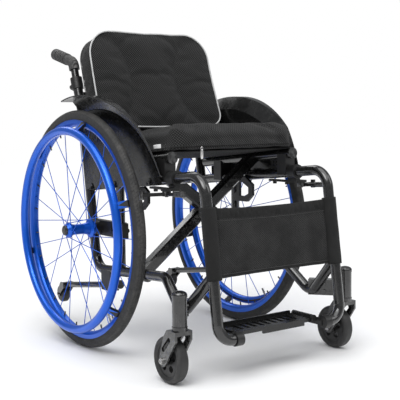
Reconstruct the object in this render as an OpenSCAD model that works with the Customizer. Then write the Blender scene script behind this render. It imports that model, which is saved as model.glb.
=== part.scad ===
// Folding manual wheelchair: two tube side frames joined by a cross brace that folds.
// X runs across the chair, the chair faces -Y, Z is up and the floor is z = 0.

/* [Frame] */
// Distance between the two side frames, tube centre to tube centre
frame_width = 360; // [330:1:440]
// Outside diameter of the main frame tubes
tube_d = 25; // [20:0.5:30]
// Outside diameter of the vertical strut
strut_d = 22; // [18:0.5:26]
// Height of the lower tube's rear corner above the floor
low_z = 186; // [170:1:210]
// Rise of the lower tube towards the front, degrees
low_tilt = 4; // [0:0.5:6]
// Height of the upper tube where it leaves the back post
up_z = 399; // [370:1:420]
// Rise of the upper tube and seat towards the front, degrees
seat_tilt = 5.5; // [3:0.5:7]
// Height of the bend in the back post
post_bend_z = 565; // [540:1:600]
// Height of the top of the back post
post_top_z = 675; // [660:1:760]
// Backward rake of the lower back post, degrees
post_rake = 8.5; // [4:0.5:12]
// Backward rake of the upper back post, degrees
back_rake = 18; // [10:1:22]
// Height of the centre of the foot tube
foot_z = 96; // [80:1:130]
// Length of the foot tube past the knee, towards the middle
foot_stub = 48; // [40:1:52]

/* [Rear wheels] */
// Outside diameter of the rear tyre
wheel_d = 594; // [490:1:640]
// Width of the rear tyre
tyre_w = 28; // [24:1:40]
// Radial depth of the tyre that shows outside the rim
tyre_depth = 22; // [18:1:26]
// Radial depth of the rim
rim_depth = 19; // [15:1:24]
// Width of the rim
rim_w = 24; // [20:1:28]
// Distance from the side frame to the middle plane of the rear wheel
wheel_out = 63; // [60:1:80]
// Diameter of the axle
axle_d = 12.7; // [10:0.1:15]
// Number of spokes in each wheel
spokes = 24; // [20:4:36]
// Diameter of the handrim tube
handrim_d = 21; // [18:1:24]
// Distance from the wheel plane to the handrim plane
handrim_out = 37; // [34:1:42]
// Radial step from the tyre's outside to the handrim's centre line
handrim_step = 50.4; // [46:0.2:56]

/* [Casters] */
// Outside diameter of the caster wheel
caster_d = 104; // [90:1:126]
// Width of the caster tyre
caster_w = 28; // [22:1:32]
// Horizontal distance from the swivel axis to the caster axle
trail = 35; // [28:1:45]
// Distance from the side frame to the swivel axis
caster_out = 66; // [60:1:80]
// Gap between the rear tyre and the circle that the caster swings in
caster_gap = 55; // [40:1:90]
// Diameter of the swivel stem
stem_d = 12; // [10:0.5:14]
// Diameter of the caster axle bolt
bolt_d = 8; // [6:0.5:10]

/* [Cross brace] */
// Width of a brace bar across its face
bar_w = 29; // [24:1:30]
// Thickness of a brace bar along the hinge axis
bar_t = 30; // [22:1:34]
// Gap between the two brace bars at the centre bolt
bar_gap = 24; // [12:1:30]
// Diameter of the centre bolt
cross_bolt_d = 12; // [10:0.5:14]
// Height of the seat rail's centre above the upper tube's centre
rail_rise = 47; // [40:1:55]

/* [Push handles] */
// Diameter of the sliding handle tube
handle_d = 20; // [16:0.5:22]
// Length of the handle tube inside the back post
handle_insert = 98; // [80:1:104]
// Height of the handle's bend above the top of the post
handle_rise = 47; // [40:1:60]
// Length of the handle past its bend
grip_len = 101; // [90:1:130]
// Outside diameter of the grip
grip_d = 31; // [27:1:36]

/* [Soft goods] */
// Thickness of the seat cushion
seat_pad_t = 56; // [40:1:70]
// Depth of the seat cushion, front to back
seat_depth = 400; // [370:1:410]
// Height of the top of the back cushion above the top of the back post
back_pad_over = 115; // [90:1:130]
// Thickness of the back cushion at its lower edge
back_pad_t = 52; // [40:1:64]
// Thickness of the sling cloth
cloth_t = 2.5; // [1.5:0.1:4]

/* [Fits] */
// Radial clearance of a turning or sliding fit
run_fit = 0.08; // [0.02:0.01:0.1]
// Gap between two pieces that are fixed together
seat_fit = 0.05; // [0.02:0.01:0.1]
// Gap between pieces that move past each other or between cloth and metal
free_gap = 0.3; // [0.2:0.05:0.5]

/* [Hidden] */
$fn = 48;

// Side frame, in the plane of the tubes, with the axle at y = 0
side_x = frame_width / 2;
tube_r = tube_d / 2;
bend_proud = 0.05;
bend_lap = 1;
strut_r = strut_d / 2;
wheel_r = wheel_d / 2;
axle_z = wheel_r;
post_foot_y = 29;
post_bend_y = post_foot_y + (post_bend_z - low_z) * tan(post_rake);
post_top_y = post_bend_y + (post_top_z - post_bend_z) * tan(back_rake);
strut_y = -92;
caster_r = caster_d / 2;
caster_y = -(wheel_r + caster_gap + trail + caster_r);
caster_x = side_x + caster_out;
front_bend_y = caster_y - 2;
foot_y = caster_y - 51;
leg_y = caster_y + 149;
vee_y = caster_y + 64;
vee_x = side_x + 14;
vee_z = caster_d + 34;
foot_x = side_x - foot_stub;
upper_start_y = post_y(up_z);
rear_path = [
    [side_x, post_top_y, post_top_z],
    [side_x, post_bend_y, post_bend_z],
    [side_x, post_foot_y, low_z],
    [side_x, leg_y, lower_z(leg_y)],
    [vee_x, vee_y, vee_z],
    [side_x, caster_y - 26, vee_z + 92]
];
rear_bends = [80, 45, 38, 28];
front_path = [
    [side_x, upper_start_y, up_z],
    [side_x, front_bend_y, upper_z(front_bend_y)],
    [side_x, foot_y, foot_z],
    [foot_x, foot_y, foot_z]
];
front_bends = [45, 36];

// Rear wheel, across the chair from the side frame outwards
wheel_x = side_x + wheel_out;
axle_r = axle_d / 2;
tyre_in_r = wheel_r - tyre_depth;
rim_in_r = tyre_in_r - rim_depth;
hub_in_x = side_x + 26;
hub_out_x = wheel_x + 41;
hub_bore_r = axle_r + run_fit;
flange_in_x = wheel_x - 28;
flange_out_x = wheel_x + 32;
flange_in_r = 23.5;
flange_out_r = 19.5;
flange_t = 4;
spoke_r = 1;
handrim_x = wheel_x + handrim_out;
handrim_r = handrim_d / 2;
handrim_ring_r = wheel_r - handrim_step;
handrim_tabs = 6;
tab_w = 16;

// Caster
stem_r = stem_d / 2;
bolt_r = bolt_d / 2;
crown_z = caster_d + 18;
crown_t = 9;
housing_z = crown_z + crown_t + 1;
housing_h = 70;
housing_r = 16;
fork_gap = caster_w + 6;
fork_t = 5;
caster_axle_y = caster_y + trail;

// Cross brace, in a frame tilted with the lower tubes
brace_y = leg_y + 78;
brace_z = lower_z(brace_y);
brace_h = (upper_z(brace_y) + rail_rise - brace_z) / (cos(low_tilt) + tan(seat_tilt) * sin(low_tilt));
bar_y = (bar_gap + bar_t) / 2;
bar_len = norm([frame_width, brace_h]);
bar_angle = atan2(brace_h, frame_width);
bar_chamfer = 4;
sleeve_r = tube_r + 5;
sleeve_len = 56;
rail_r = tube_r;
rail_front_y = caster_y + 121;
rail_back_y = 40;
cross_bolt_r = cross_bolt_d / 2;

// Push handle, along the upper back post
handle_r = handle_d / 2;
grip_r = grip_d / 2;
post_dir = [0, sin(back_rake), cos(back_rake)];
post_top = [side_x, post_top_y, post_top_z];
grip_rise = 15;
grip_cap = 20;
handle_bend = post_top + post_dir * (handle_rise / cos(back_rake));
handle_end = handle_bend + grip_len * [0, cos(grip_rise), sin(grip_rise)];
handle_bend_r = 24;
sling_top_z = post_top_z - 32;
pad_half = side_x + 13;
pad_overhang = 38;
seat_pad_top = rail_r + 2 * free_gap + cloth_t + seat_pad_t;
back_pad_foot_y = back_y(up_z + 115) - back_pad_t - 24;
back_pad_z = pad_top_z(back_pad_foot_y) + 2;
handle_low = post_top - post_dir * handle_insert;
grip_start = post_top + post_dir * (handle_rise * 0.6);

// Anti-tip arm, under the lower tube
tip_r = 8;
tip_wheel_r = 24;
tip_front = [side_x, -78, low_z - 26];
tip_end = [side_x, 205, low_z - 68];
tip_dir = (tip_end - tip_front) / norm(tip_end - tip_front);
tip_axle = tip_end + [0, 20, -26];
tip_pin_r = 3;

// Footplate and its hinge
clamp_r = tube_r + 3;
clamp_in_x = foot_x - 11;
plate_pin_x = foot_x - 20;
plate_pin_z = foot_z + 8;
plate_pin_r = 4;
plate_front_y = foot_y + 18;
plate_back_y = plate_front_y + 72;
plate_t = 8;
ear_t = 6;
knuckle_r = 7;
plate_bottom_z = plate_pin_z - knuckle_r;

// Wheel lock, hung from the upper tube in front of the rear tyre
lock_y = -(wheel_r + 33);
lock_pivot = [side_x + 22, lock_y, upper_z(lock_y) - 32];
lock_pin_r = 4;
shoe_r = 6;
shoe_reach = 57;
shoe_angle = 16;

// Side guard, a panel with a fender over the tyre
guard_x = side_x + 20;
guard_t = 3;
fender_y = -28;
fender_z = axle_z - 22;
fender_r = wheel_r + 58;
guard_r = wheel_r + 24;
guard_low = upper_z(-280) - 8;
fender_out = 56;
fender_tip = 6;
guard_rear_a = 75;
guard_front_a = 150;

// Where the object's middle lies between its front and its rear end
front_y = foot_y - clamp_r;
rear_y = wheel_r;
shift_y = -(front_y + rear_y) / 2;

frame_c = "#1c1d20";
trim_c = "#26272a";
blue_c = "#2b5fd0";
rubber_c = "#3a3b3d";
tyre_c = "#4a4b4d";
steel_c = "#b9bcc0";
cloth_c = "#4c4d50";

module on_left() { translate([0, shift_y, 0]) children(); }
module on_right() { translate([0, shift_y, 0]) mirror([1, 0, 0]) children(); }
module in_middle() { translate([0, shift_y, 0]) children(); }

function post_y(z) = post_foot_y + (z - low_z) * tan(post_rake);
function upper_z(y) = up_z + (upper_start_y - y) * tan(seat_tilt);
function lower_z(y) = low_z + (post_foot_y - y) * tan(low_tilt);
function back_y(z) = post_bend_y + (z - post_bend_z) * tan(back_rake);
function rail_z(y) = upper_z(y) + rail_rise;
function pad_top_z(y) =
    rail_z(rail_front_y) + seat_pad_top / cos(seat_tilt) - (y - rail_front_y) * tan(seat_tilt);
function unit(v) = v / norm(v);
function turn(u, v) = acos(max(-1, min(1, u * v)));
function leg(pts, i) = unit(pts[i + 1] - pts[i]);
function trim_at(pts, bends, i) =
    i == 0 || i == len(pts) - 1 ? 0 : bends[i - 1] * tan(turn(leg(pts, i - 1), leg(pts, i)) / 2);
function on_circle(r, a, x) = [x, r * cos(a), axle_z + r * sin(a)];
function arc(cy, cz, r, a0, a1, n) =
    [for (i = [0:n]) [cy + r * cos(a0 + (a1 - a0) * i / n), cz + r * sin(a0 + (a1 - a0) * i / n)]];

// A straight rod from a to b
module rod(a, b, r) {
    d = b - a;
    translate(a)
        rotate([0, acos(d.z / norm(d)), atan2(d.y, d.x)])
            cylinder(h = norm(d), r = r);
}

// A quarter-torus-like bend at corner p, from direction u to direction v
module elbow(p, u, v, bend_r, r) {
    a = turn(u, v);
    start = p - u * bend_r * tan(a / 2);
    n = unit(v - (v * u) * u);
    c = start + bend_r * n;
    w = cross(u, n);
    multmatrix([
        [-n.x, u.x, w.x, c.x],
        [-n.y, u.y, w.y, c.y],
        [-n.z, u.z, w.z, c.z],
        [0, 0, 0, 1]
    ])
        rotate_extrude(angle = a) translate([bend_r, 0]) circle(r = r);
}

// A round tube that follows the corners pts, with a bend at each inner corner.
// The straight lengths reach a little way into the bends, which stand bend_proud proud of them.
module bent_tube(pts, bends, r) {
    last = len(pts) - 2;
    for (i = [0:last]) {
        u = leg(pts, i);
        from = pts[i] + u * (trim_at(pts, bends, i) - (i == 0 ? 0 : bend_lap));
        to = pts[i + 1] - u * (trim_at(pts, bends, i + 1) - (i == last ? 0 : bend_lap));
        rod(from, to, r - bend_proud);
    }
    for (i = [1:len(pts) - 2])
        elbow(pts[i], leg(pts, i - 1), leg(pts, i), bends[i - 1], r);
}

// A solid of revolution about the wheel axis, from [radius, x] points
module turned_x(y, z, pts) {
    translate([0, y, z]) rotate([0, 90, 0]) rotate_extrude($fn = 96) polygon(pts);
}

// A flat plate of thickness t from x0 upwards, with a [y, z] outline
module side_plate(x0, t) {
    translate([x0, 0, 0])
        multmatrix([[0, 0, 1, 0], [1, 0, 0, 0], [0, 1, 0, 0], [0, 0, 0, 1]])
            linear_extrude(t) children();
}

// The tilted frame of the cross brace
module in_brace() { translate([0, brace_y, brace_z]) rotate([-low_tilt, 0, 0]) children(); }

// The tilted frame of the seat, with z = 0 on the seat rails' centres
module in_seat() { translate([0, rail_front_y, rail_z(rail_front_y)]) rotate([-seat_tilt, 0, 0]) children(); }

module post_solid(r) { rod(rear_path[1], rear_path[2], r); }
module upper_solid(r) { rod(front_path[0], front_path[1], r); }
module front_solid(r) { rod(front_path[1], front_path[2], r); }

module upper_tube() {
    color(frame_c) difference() {
        bent_tube(front_path, front_bends, tube_r);
        post_solid(tube_r + seat_fit);
    }
}

module rear_tube() {
    color(frame_c) difference() {
        union() {
            bent_tube(rear_path, rear_bends, tube_r);
            rod([side_x, strut_y, lower_z(strut_y)], [side_x, strut_y, upper_z(strut_y)], strut_r);
        }
        upper_solid_at_strut();
        front_solid(tube_r + seat_fit);
        rod(handle_low - post_dir * 4, post_top + post_dir, handle_r + run_fit);
    }
}

module upper_solid_at_strut() {
    a = [side_x, strut_y + 40, upper_z(strut_y + 40)];
    b = [side_x, strut_y - 40, upper_z(strut_y - 40)];
    rod(a, b, tube_r + seat_fit);
}

module axle_plate() {
    color(trim_c) difference() {
        union() {
            translate([side_x - 8, strut_y - strut_r - 12, axle_z - 19])
                cube([16, post_y(axle_z) - strut_y + strut_r + 12, 38]);
            translate([side_x - 12, 0, axle_z]) rotate([0, 90, 0]) cylinder(h = 37, r = 16);
            translate([side_x, strut_y, axle_z - 19]) cylinder(h = 38, r = strut_r + 4);
            translate([side_x - 12, strut_y + 26, axle_z + 19]) cylinder(h = 6, r = 5);
            translate([side_x - 12, 0, 0]) plate_bolts();
        }
        post_solid(tube_r + seat_fit);
        rod([side_x, strut_y, low_z], [side_x, strut_y, up_z], strut_r + seat_fit);
        translate([side_x - 20, 0, axle_z]) rotate([0, 90, 0]) cylinder(h = 60, r = axle_r + seat_fit);
        translate([side_x - 20, strut_y + 18, axle_z + 20]) cube([40, 16, 20]);
    }
}

module plate_bolts() {
    for (y = [strut_y - strut_r - 6, strut_y + 30])
        translate([0, y, axle_z]) rotate([0, 90, 0]) cylinder(h = 24, r = 5);
}

module caster_housing() {
    reach = norm([caster_x - vee_x, caster_y - vee_y]);
    color(trim_c) difference() {
        union() {
            translate([caster_x, caster_y, housing_z])
                rotate_extrude($fn = 96) polygon(concat(
                    [[0, 0], [housing_r, 0], [housing_r, housing_h - 8], [housing_r + 1, housing_h - 8]],
                    [for (a = [0:15:90]) [(housing_r + 1) * cos(a), housing_h - 3 + 9 * sin(a)]]
                ));
            translate([caster_x, caster_y, housing_z + 4])
                rotate([0, 0, atan2(vee_y - caster_y, vee_x - caster_x)]) {
                    translate([0, -13, 0]) cube([reach + 6, 26, 38]);
                    for (z = [10, 28])
                        translate([reach * 0.6, 0, z]) rotate([90, 0, 0]) cylinder(h = 32, r = 4.5, center = true);
                }
        }
        translate([caster_x, caster_y, housing_z - 1]) cylinder(h = housing_h - 8, r = stem_r + run_fit);
        vee_solid(tube_r + seat_fit);
    }
}

module vee_solid(r) { bent_tube([rear_path[3], rear_path[4], rear_path[5]], [rear_bends[3]], r); }

module side_guard() {
    color(trim_c) {
        difference() {
            translate([0, fender_y, fender_z])
                rotate([0, 90, 0])
                    rotate_extrude(angle = guard_front_a - guard_rear_a, start = 90 + guard_rear_a, $fn = 144)
                        polygon([
                            [guard_r - guard_t, guard_x], [guard_r, guard_x],
                            [fender_r, guard_x + 22], [fender_r, guard_x + fender_out],
                            [fender_r - guard_t, guard_x + fender_out], [fender_r - guard_t, guard_x + 23]
                        ]);
            fender_taper();
        }
        side_plate(guard_x, guard_t) intersection() {
            translate([fender_y, fender_z]) circle(r = guard_r - guard_t / 2, $fn = 144);
            polygon([
                [fender_y - 2 * guard_r, guard_low], [fender_y - guard_r + 20, guard_low],
                [40, upper_z(40) - 8], [fender_y + guard_r * cos(guard_rear_a), fender_z + 2 * guard_r],
                [fender_y - 2 * guard_r, fender_z + 2 * guard_r]
            ]);
        }
        for (y = [-262, -105, 8])
            translate([side_x + tube_r + seat_fit, y, upper_z(y)]) rotate([0, 90, 0])
                cylinder(h = guard_x + guard_t + 2.5 - side_x - tube_r, r = 6);
    }
}

// What is cut off the fender so that it narrows from its crown to its front end
module fender_taper() {
    crown = [fender_y, fender_z + fender_r];
    tip = [fender_y + fender_r * cos(guard_front_a), fender_z + fender_r * sin(guard_front_a)];
    run = norm(crown - tip);
    lean = atan2(fender_out - fender_tip, run);
    translate([guard_x + fender_tip, tip.x, tip.y])
        rotate([atan2(crown.y - tip.y, crown.x - tip.x), 0, 0])
            rotate([0, 0, -lean])
                translate([0, -2 * run, -2 * fender_r]) cube([4 * fender_r, 4 * run, 4 * fender_r]);
}

module rail_brackets() {
    color(trim_c) difference() {
        union() {
            for (y = [rail_front_y + 21, -32])
                translate([side_x - 15, y - 16, upper_z(y) - 5]) cube([30, 32, rail_rise + 5]);
            translate([side_x - 1.5, rail_front_y + 36, upper_z(rail_front_y + 50)])
                cube([3, 40, rail_rise]);
            stay();
        }
        for (i = [0:2])
            for (z = [17, 25])
                translate([side_x - 10, rail_front_y + 43 + 10 * i, upper_z(rail_front_y + 50) + z])
                    cube([20, 5.5, 5.5]);
        rod([side_x, 60, upper_z(60)], [side_x, front_bend_y, upper_z(front_bend_y)], tube_r + seat_fit);
        rod([side_x, 80, rail_z(80)], [side_x, rail_front_y - 20, rail_z(rail_front_y - 20)], rail_r + free_gap);
    }
}

// The angular stay that hangs from the upper tube beside the brace
module stay() {
    y = brace_y + 72;
    z = upper_z(y);
    rod([side_x, y + 9, upper_z(y + 9)], [side_x, y - 9, upper_z(y - 9)], tube_r + 5);
    side_plate(side_x - tube_r - 5 - 6, 8) difference() {
        polygon([
            [y + 12, z + 4], [y - 14, z + 4], [y - 52, z - 20], [y - 52, z - 48],
            [y - 30, z - 66], [y + 24, z - 66], [y + 24, z - 50], [y + 12, z - 40]
        ]);
        polygon([[y + 2, z - 16], [y - 12, z - 16], [y - 36, z - 28], [y - 36, z - 44], [y - 22, z - 52], [y + 2, z - 52]]);
    }
}

module foot_clamp(hinged) {
    color(trim_c) {
        difference() {
            union() {
                translate([clamp_in_x, foot_y, foot_z]) rotate([0, 90, 0]) cylinder(h = 19, r = clamp_r);
                translate([clamp_in_x - 2, foot_y, plate_bottom_z - 9])
                    cube([9, plate_back_y - foot_y, 12]);
            }
            rod([foot_x, foot_y, foot_z], [foot_x + 20, foot_y, foot_z], tube_r + seat_fit);
        }
        if (hinged) {
            for (y = [plate_front_y, plate_back_y - ear_t]) {
                translate([plate_pin_x, y + ear_t, plate_pin_z]) rotate([90, 0, 0]) cylinder(h = ear_t, r = knuckle_r);
                translate([plate_pin_x, y, plate_pin_z - knuckle_r]) cube([clamp_in_x - plate_pin_x + 4, ear_t, knuckle_r]);
            }
            rod([plate_pin_x, plate_front_y + 1, plate_pin_z], [plate_pin_x, plate_back_y - 1, plate_pin_z], plate_pin_r);
        } else {
            translate([clamp_in_x - 15, plate_front_y + 4, plate_bottom_z - free_gap - 7])
                cube([16, plate_back_y - plate_front_y - 8, 7]);
        }
    }
}

module post_collar() {
    color(trim_c) difference() {
        union() {
            rod(post_top - post_dir * 26, post_top + post_dir * 5, tube_r + 3);
            translate(post_top - post_dir * 12) rotate([-90 - grip_rise, 0, 0]) {
                cylinder(h = tube_r + 10, r = 3.5);
                translate([0, 0, tube_r + 9]) cylinder(h = 9, r = 7);
            }
        }
        rod(post_top - post_dir * 40, post_top, tube_r + seat_fit);
        rod(post_top - post_dir * 1, post_top + post_dir * 9, handle_r + free_gap);
    }
}

module tip_socket() {
    y0 = tip_front.y + 22;
    color(trim_c) difference() {
        translate([side_x - 13, y0, tip_front.z - 20]) cube([26, 44, lower_z(y0) - tip_front.z + 20]);
        rod(tip_front - tip_dir * 10, tip_end, tip_r + run_fit);
        rod(rear_path[2], rear_path[3], tube_r + seat_fit);
    }
}

module push_handle() {
    color(steel_c) bent_tube([handle_low, handle_bend, handle_end - [0, 3, 1]], [handle_bend_r], handle_r);
}

module grip() {
    back = unit(handle_end - handle_bend);
    color(rubber_c) difference() {
        union() {
            bent_tube([grip_start, handle_bend, handle_end], [handle_bend_r], grip_r - 1.5);
            rod(handle_end - back * grip_cap, handle_end, grip_r);
            for (i = [0:5])
                rod(handle_end - back * (grip_cap + 3 + 8 * i), handle_end - back * (grip_cap + 8 + 8 * i), grip_r);
        }
        bent_tube([handle_low, handle_bend, handle_end - [0, 3, 1]], [handle_bend_r], handle_r + seat_fit);
    }
}

module axle() {
    color(steel_c) turned_x(0, axle_z, [
        [0, side_x - 20], [11, side_x - 20], [11, side_x - 12 - seat_fit], [axle_r, side_x - 12 - seat_fit],
        [axle_r, hub_out_x + 0.5], [12, hub_out_x + 0.5], [12, hub_out_x + 4], [9, hub_out_x + 6], [0, hub_out_x + 6]
    ]);
}

module hub() {
    color(blue_c) turned_x(0, axle_z, [
        [hub_bore_r, hub_in_x], [17, hub_in_x], [17, flange_in_x - 3],
        [flange_in_r, flange_in_x - flange_t / 2], [flange_in_r, flange_in_x + flange_t / 2],
        [16, flange_in_x + 6], [13, flange_in_x + 22], [13, flange_out_x - 14], [15, flange_out_x - 5],
        [flange_out_r, flange_out_x - flange_t / 2], [flange_out_r, flange_out_x + flange_t / 2],
        [15, hub_out_x - 2], [14, hub_out_x], [hub_bore_r, hub_out_x]
    ]);
}

module spokes_group() {
    color(blue_c) for (i = [0:spokes - 1]) {
        inner = i % 2 == 0;
        lean = (floor(i / 2) % 2 == 0 ? 1 : -1) * 52;
        a = i * 360 / spokes;
        x0 = (inner ? flange_in_x : flange_out_x) + (lean > 0 ? 1.4 : -1.4);
        r0 = (inner ? flange_in_r : flange_out_r) + 1.05;
        x1 = wheel_x + (inner ? -3 : 3);
        rod(on_circle(r0, a + lean, x0), on_circle(rim_in_r - 0.4, a, x1), spoke_r);
    }
}

module rim() {
    half = rim_w / 2;
    r = tyre_in_r - seat_fit;
    color(blue_c) turned_x(0, axle_z, [
        [r, wheel_x - half], [r, wheel_x + half], [r - 11, wheel_x + half],
        [rim_in_r + 3, wheel_x + half - 3], [rim_in_r, wheel_x + half - 7],
        [rim_in_r, wheel_x - half + 7], [rim_in_r + 3, wheel_x - half + 3], [r - 11, wheel_x - half]
    ]);
}

module tyre() {
    ring = wheel_r - tyre_w / 2;
    a0 = acos(max(-1, (tyre_in_r - ring) / (tyre_w / 2)));
    color(tyre_c) turned_x(0, axle_z, [
        for (i = [0:20]) let (a = -a0 + 2 * a0 * i / 20)
            [ring + tyre_w / 2 * cos(a), wheel_x + tyre_w / 2 * sin(a)]
    ]);
}

module handrim() {
    half = rim_w / 2;
    r0 = tyre_in_r - 11;
    color(blue_c) {
        translate([handrim_x, 0, axle_z]) rotate([0, 90, 0])
            rotate_extrude($fn = 96) translate([handrim_ring_r, 0]) circle(r = handrim_r);
        for (i = [0:handrim_tabs - 1])
            translate([0, 0, axle_z]) rotate([i * 360 / handrim_tabs + 12, 0, 0])
                translate([0, tab_w / 2, 0]) rotate([90, 0, 0]) linear_extrude(tab_w) polygon([
                    [wheel_x + half + seat_fit, r0], [wheel_x + half + seat_fit, r0 + 8],
                    [wheel_x + half + 5, r0 + 8], [handrim_x + 2, handrim_ring_r + 5], [handrim_x - 4, handrim_ring_r]
                ]);
    }
}

module caster_fork() {
    leg_x = fork_gap / 2;
    top_y = caster_y - 15;
    color(trim_c) {
        translate([caster_x, caster_y, crown_z]) cylinder(h = housing_h - 6, r = stem_r);
        translate([caster_x, caster_y, crown_z]) cylinder(h = crown_t, r = housing_r + 1);
        translate([caster_x - leg_x - fork_t, top_y, crown_z - 9]) cube([fork_gap + 2 * fork_t, 34, 9.5]);
        for (x = [caster_x - leg_x - fork_t, caster_x + leg_x])
            side_plate(x, fork_t) difference() {
                union() {
                    polygon([
                        [top_y, crown_z], [top_y + 34, crown_z], [top_y + 46, crown_z - 16],
                        [caster_axle_y + 13, caster_r + 3], [caster_axle_y - 11, caster_r - 7],
                        [top_y, crown_z - 20]
                    ]);
                    translate([caster_axle_y, caster_r]) circle(r = 13);
                }
                translate([caster_axle_y, caster_r]) circle(r = bolt_r + seat_fit);
                fork_slot();
            }
    }
}

module fork_slot() {
    low = [caster_axle_y - 3, caster_r + 26];
    high = [caster_y + 10, crown_z - 20];
    d = high - low;
    translate(low) circle(r = 5.5);
    translate(high) circle(r = 5.5);
    translate(low) rotate(atan2(d.y, d.x)) translate([0, -5.5]) square([norm(d), 11]);
}

module caster_hub() {
    rim = caster_r - 15;
    color(trim_c) difference() {
        turned_x(caster_axle_y, caster_r, [
            [bolt_r + run_fit, caster_x - 15], [11, caster_x - 15], [11, caster_x - 9], [rim, caster_x - 9],
            [rim, caster_x + 9], [11, caster_x + 9], [11, caster_x + 15], [bolt_r + run_fit, caster_x + 15]
        ]);
        for (i = [0:4])
            translate([caster_x - 20, caster_axle_y, caster_r]) rotate([i * 72, 0, 0])
                translate([0, 0, rim * 0.6]) rotate([0, 90, 0]) cylinder(h = 40, r = rim * 0.2);
    }
}

module caster_tyre() {
    half = caster_w / 2;
    r0 = caster_r - 15 + seat_fit;
    color(rubber_c) turned_x(caster_axle_y, caster_r, concat(
        [[r0, caster_x + half - 4], [r0, caster_x - half + 4]],
        [for (a = [180:15:270]) [caster_r - 8 - 8 * sin(a), caster_x - half + 8 + 8 * cos(a)]],
        [for (a = [90:-15:0]) [caster_r - 8 + 8 * sin(a), caster_x + half - 8 + 8 * cos(a)]]
    ));
}

module caster_bolt() {
    half = fork_gap / 2 + fork_t;
    color(steel_c) turned_x(caster_axle_y, caster_r, [
        [0, caster_x - half - 4], [7, caster_x - half - 4], [7, caster_x - half - seat_fit],
        [bolt_r, caster_x - half - seat_fit], [bolt_r, caster_x + half + seat_fit],
        [7, caster_x + half + seat_fit], [7, caster_x + half + 4], [0, caster_x + half + 4]
    ]);
}

module brake_body() {
    z = lock_pivot.z;
    color(trim_c) difference() {
        union() {
            rod([side_x, lock_y + 13, upper_z(lock_y + 13)], [side_x, lock_y - 13, upper_z(lock_y - 13)], tube_r + 5);
            translate([side_x - 6, lock_y - 11, z + 5]) cube([36, 22, 6]);
            translate([side_x - 6, lock_y - 11, z + 5]) cube([14, 22, 27]);
            translate([side_x - 6, lock_y, z + 5]) cube([14, 92, 5]);
            translate([lock_pivot.x, lock_y, z - 8]) cylinder(h = 16, r = lock_pin_r);
            for (y = [lock_y + 30, lock_y + 76])
                translate([side_x + 1, y, z - 1]) cylinder(h = 8, r = 5);
        }
        rod([side_x, 0, upper_z(0)], [side_x, front_bend_y, upper_z(front_bend_y)], tube_r + seat_fit);
    }
}

module brake_lever() {
    shoe = lock_pivot + shoe_reach * [cos(shoe_angle), sin(shoe_angle), 0];
    color(trim_c) difference() {
        union() {
            translate([lock_pivot.x, lock_y, lock_pivot.z - 6]) cylinder(h = 10.5, r = 10);
            translate([lock_pivot.x, lock_y, lock_pivot.z - 5]) rotate([0, 0, shoe_angle])
                translate([0, -7, 0]) cube([shoe_reach, 14, 7]);
            translate([shoe.x, shoe.y, lock_pivot.z - 12]) cylinder(h = 20, r = shoe_r);
            rod(lock_pivot + [2, 0, -2], lock_pivot + [8, -66, 2], 4);
            rod(lock_pivot + [6, -44, 1], lock_pivot + [9, -80, 3], 6.5);
        }
        translate([lock_pivot.x, lock_y, lock_pivot.z - 20]) cylinder(h = 40, r = lock_pin_r + run_fit);
    }
}

module tip_tube() {
    color(steel_c) {
        rod(tip_front, tip_end, tip_r);
        rod(tip_front - tip_dir * 8, tip_front, tip_r + 3);
        for (x = [side_x - 16, side_x + 12])
            side_plate(x, 4) {
                translate([tip_axle.y, tip_axle.z]) circle(r = 8);
                polygon([
                    [tip_end.y - 10, tip_end.z - 7], [tip_end.y - 10, tip_end.z + 8],
                    [tip_end.y + 8, tip_end.z + 8], [tip_axle.y + 8, tip_axle.z], [tip_axle.y - 8, tip_axle.z]
                ]);
            }
        translate([side_x - 16, tip_end.y - 10, tip_end.z - 7]) cube([32, 12, 15]);
        rod([side_x - 19, tip_axle.y, tip_axle.z], [side_x + 19, tip_axle.y, tip_axle.z], tip_pin_r);
    }
}

module tip_wheel() {
    color(rubber_c) turned_x(tip_axle.y, tip_axle.z, [
        [tip_pin_r + run_fit, side_x - 11], [9, side_x - 11], [tip_wheel_r - 3, side_x - 9],
        [tip_wheel_r, side_x - 6], [tip_wheel_r, side_x + 6], [tip_wheel_r - 3, side_x + 9],
        [9, side_x + 11], [tip_pin_r + run_fit, side_x + 11]
    ]);
}

// A brace bar with its seat rail, hinged on the lower tube at -side and reaching up to +side
module brace_bar(side, y) {
    color(frame_c) difference() {
        union() {
            in_brace() translate([-side * side_x, y, 0]) {
                rotate([0, side > 0 ? -bar_angle : bar_angle - 180, 0])
                    translate([0, -bar_t / 2, -bar_w / 2]) chamfered_bar();
                translate([0, -sleeve_len / 2, 0]) rotate([-90, 0, 0]) cylinder(h = sleeve_len, r = sleeve_r);
            }
            rail(side);
        }
        in_brace() {
            translate([-side * side_x, 0, 0]) rotate([90, 0, 0])
                cylinder(h = 300, r = tube_r + run_fit, center = true);
            translate([0, 0, brace_h / 2]) rotate([90, 0, 0])
                cylinder(h = 200, r = cross_bolt_r + run_fit, center = true);
        }
    }
}

module chamfered_bar() {
    c = bar_chamfer;
    rotate([90, 0, 90]) linear_extrude(bar_len) polygon([
        [c, 0], [bar_t - c, 0], [bar_t, c], [bar_t, bar_w - c],
        [bar_t - c, bar_w], [c, bar_w], [0, bar_w - c], [0, c]
    ]);
}

module rail(side) {
    a = [side * side_x, rail_front_y, rail_z(rail_front_y)];
    b = [side * side_x, rail_back_y, rail_z(rail_back_y)];
    rod(a, b, rail_r);
    rod(a + unit(a - b) * 6, a, rail_r + 1.5);
}

module cross_bar_a() { brace_bar(1, bar_y); }

module cross_bar_b() { brace_bar(-1, -bar_y); }

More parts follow.
